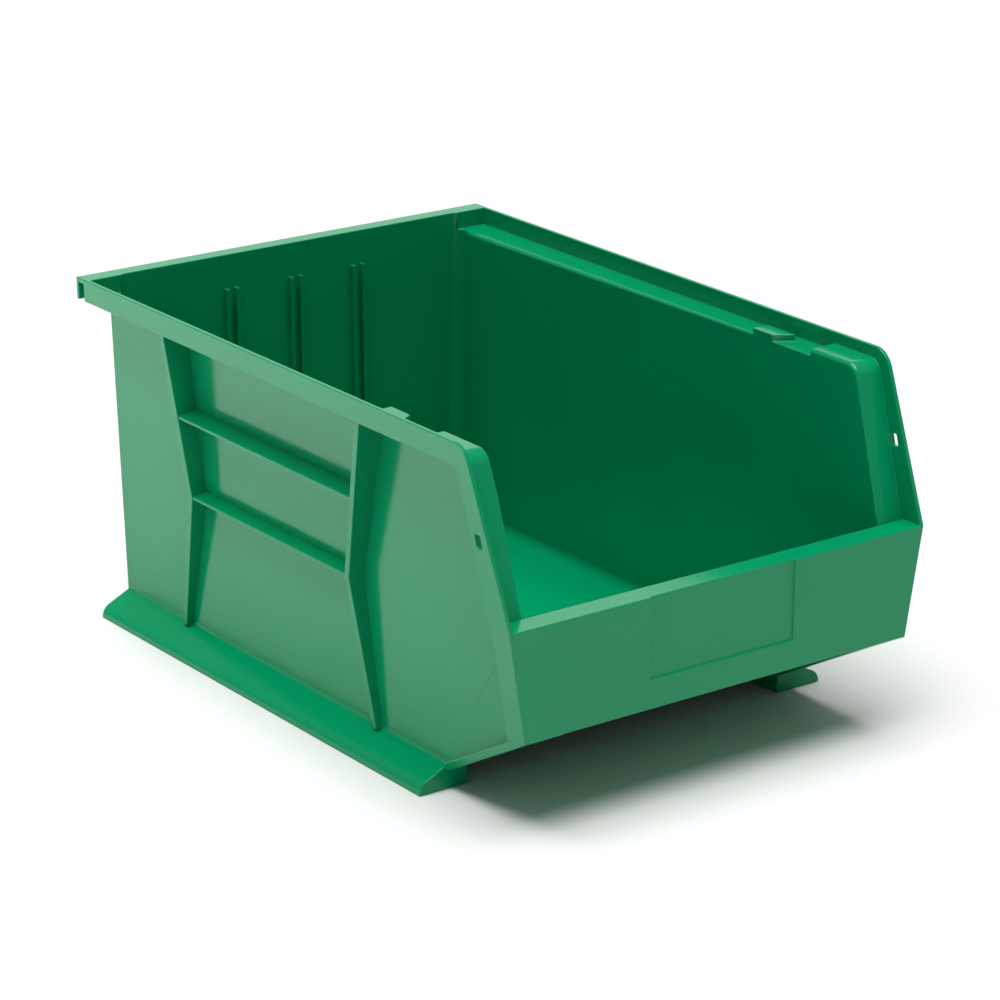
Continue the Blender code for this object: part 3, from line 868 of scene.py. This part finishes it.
class STORAGEBIN_OT_dividers(bpy.types.Operator):
    """Pairs of thin ribs inside the rear wall"""

    bl_idname = "storage_bin.dividers"
    bl_label = "Divider ribs"

    def execute(self, context):
        sizes, finish = settings()
        low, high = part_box("divider_rib_1a")
        rib = block("divider_1a", (low.x, low.y - SLACK, FLOOR_HIGH.z - BITE),
                    (high.x, REAR_Y, high.z))
        trim(rib, *rear_plane(WALL / 2))
        trim(rib, *opposite(rear_plane(WALL + DIVIDER_HEIGHT)))
        round_edges(rib, sizes.thin_radius)
        ribs = {"1a": rib}
        for place in ("1b", "2a", "2b", "3a", "3b"):
            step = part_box(f"divider_rib_{place}")[0].x - low.x
            ribs[place] = copied(rib, f"divider_{place}", (step, 0.0, 0.0))
        for place, obj in ribs.items():
            complete(obj, moulded_polypropylene(finish), [f"divider_rib_{place}"])
        return {"FINISHED"}


class STORAGEBIN_OT_stage(bpy.types.Operator):
    """Pale studio floor, soft lights and the camera"""

    bl_idname = "storage_bin.stage"
    bl_label = "Stage"

    def execute(self, context):
        stage = context.scene.storage_bin_stage
        deselect()
        bpy.ops.mesh.primitive_plane_add(size=FLOOR_SIZE, location=(0.0, 0.0, 0.0))
        floor = context.object
        floor.name = "studio_floor"
        material = bpy.data.materials.new("matt studio paper")
        material.use_nodes = True
        shader = material.node_tree.nodes["Principled BSDF"]
        shader.inputs["Base Color"].default_value = tuple(stage.floor_colour) + (1.0,)
        shader.inputs["Roughness"].default_value = 0.9
        shader.inputs["Specular IOR Level"].default_value = 0.1
        floor.data.materials.append(material)

        world = bpy.data.worlds.new("white room")
        world.use_nodes = True
        background = world.node_tree.nodes["Background"]
        background.inputs["Color"].default_value = (1.0, 1.0, 1.0, 1.0)
        background.inputs["Strength"].default_value = stage.surroundings
        context.scene.world = world

        self.broad_light("overhead_light", (-0.08, -0.05, 1.0), stage.overhead, 50.0)
        side = self.softbox("side_softbox", SIDE_SOFTBOX, SIDE_TARGET, 1.1,
                            stage.side_power, 70.0)
        side.visible_glossy = False
        self.softbox("back_softbox", BACK_SOFTBOX, BACK_TARGET, 1.7,
                     stage.back_power, 180.0)

        turn = (Matrix.Rotation(stage.azimuth, 4, "Z")
                @ Matrix.Rotation(math.pi / 2 - stage.elevation, 4, "X")
                @ Matrix.Rotation(stage.roll, 4, "Z"))
        back = turn.to_3x3() @ Vector((0.0, 0.0, 1.0))
        place = Vector(stage.target) + back * stage.distance
        bpy.ops.object.camera_add(location=place, rotation=turn.to_euler())
        camera = context.object
        camera.data.lens = stage.lens
        camera.data.sensor_width = SENSOR_WIDTH
        camera.data.clip_start = CLIP_START
        context.scene.camera = camera
        context.scene.view_settings.view_transform = "Standard"
        return {"FINISHED"}

    def broad_light(self, name, towards, strength, spread):
        """Even light from one side of the room, as from a wall of softboxes."""
        aim = Vector(towards).to_track_quat("Z", "Y").to_euler()
        bpy.ops.object.light_add(type="SUN", rotation=aim)
        light = bpy.context.object
        light.name = name
        light.data.energy = strength
        light.data.angle = math.radians(spread)

    def softbox(self, name, place, target, size, power, spread):
        """A square area light that faces its target, with a grid that limits its spread."""
        aim = (Vector(target) - Vector(place)).to_track_quat("-Z", "Y").to_euler()
        bpy.ops.object.light_add(type="AREA", location=place, rotation=aim)
        light = bpy.context.object
        light.name = name
        light.data.shape = "SQUARE"
        light.data.size = size
        light.data.energy = power
        light.data.spread = math.radians(spread)
        return light


# Panel and registration -------------------------------------------------------------------------
class STORAGEBIN_PT_panel(bpy.types.Panel):
    """Sizes, finish and pieces of the storage bin"""

    bl_idname = "STORAGEBIN_PT_panel"
    bl_label = "Storage Bin"
    bl_space_type = "VIEW_3D"
    bl_region_type = "UI"
    bl_category = "Storage Bin"

    def draw(self, context):
        layout = self.layout
        scene = context.scene
        groups = {"Sizes": scene.storage_bin_sizes, "Finish": scene.storage_bin_finish,
                  "Stage": scene.storage_bin_stage}
        for title, group in groups.items():
            box = layout.box()
            box.label(text=title)
            for name in group.__annotations__:
                box.prop(group, name)
        for operator in OPERATORS:
            layout.operator(operator.bl_idname)


OPERATORS = (
    STORAGEBIN_OT_shell,
    STORAGEBIN_OT_grips,
    STORAGEBIN_OT_rails,
    STORAGEBIN_OT_dividers,
    STORAGEBIN_OT_stage,
)
GROUPS = (StorageBinSizes, StorageBinFinish, StorageBinStage)


def register():
    for item in (*GROUPS, *OPERATORS, STORAGEBIN_PT_panel):
        bpy.utils.register_class(item)
    bpy.types.Scene.storage_bin_sizes = PointerProperty(type=StorageBinSizes)
    bpy.types.Scene.storage_bin_finish = PointerProperty(type=StorageBinFinish)
    bpy.types.Scene.storage_bin_stage = PointerProperty(type=StorageBinStage)


def unregister():
    del bpy.types.Scene.storage_bin_stage
    del bpy.types.Scene.storage_bin_finish
    del bpy.types.Scene.storage_bin_sizes
    for item in reversed((*GROUPS, *OPERATORS, STORAGEBIN_PT_panel)):
        bpy.utils.unregister_class(item)


def main():
    register()
    bpy.ops.storage_bin.shell()
    bpy.ops.storage_bin.grips()
    bpy.ops.storage_bin.rails()
    bpy.ops.storage_bin.dividers()
    bpy.ops.storage_bin.stage()


if __name__ == "__main__":
    main()
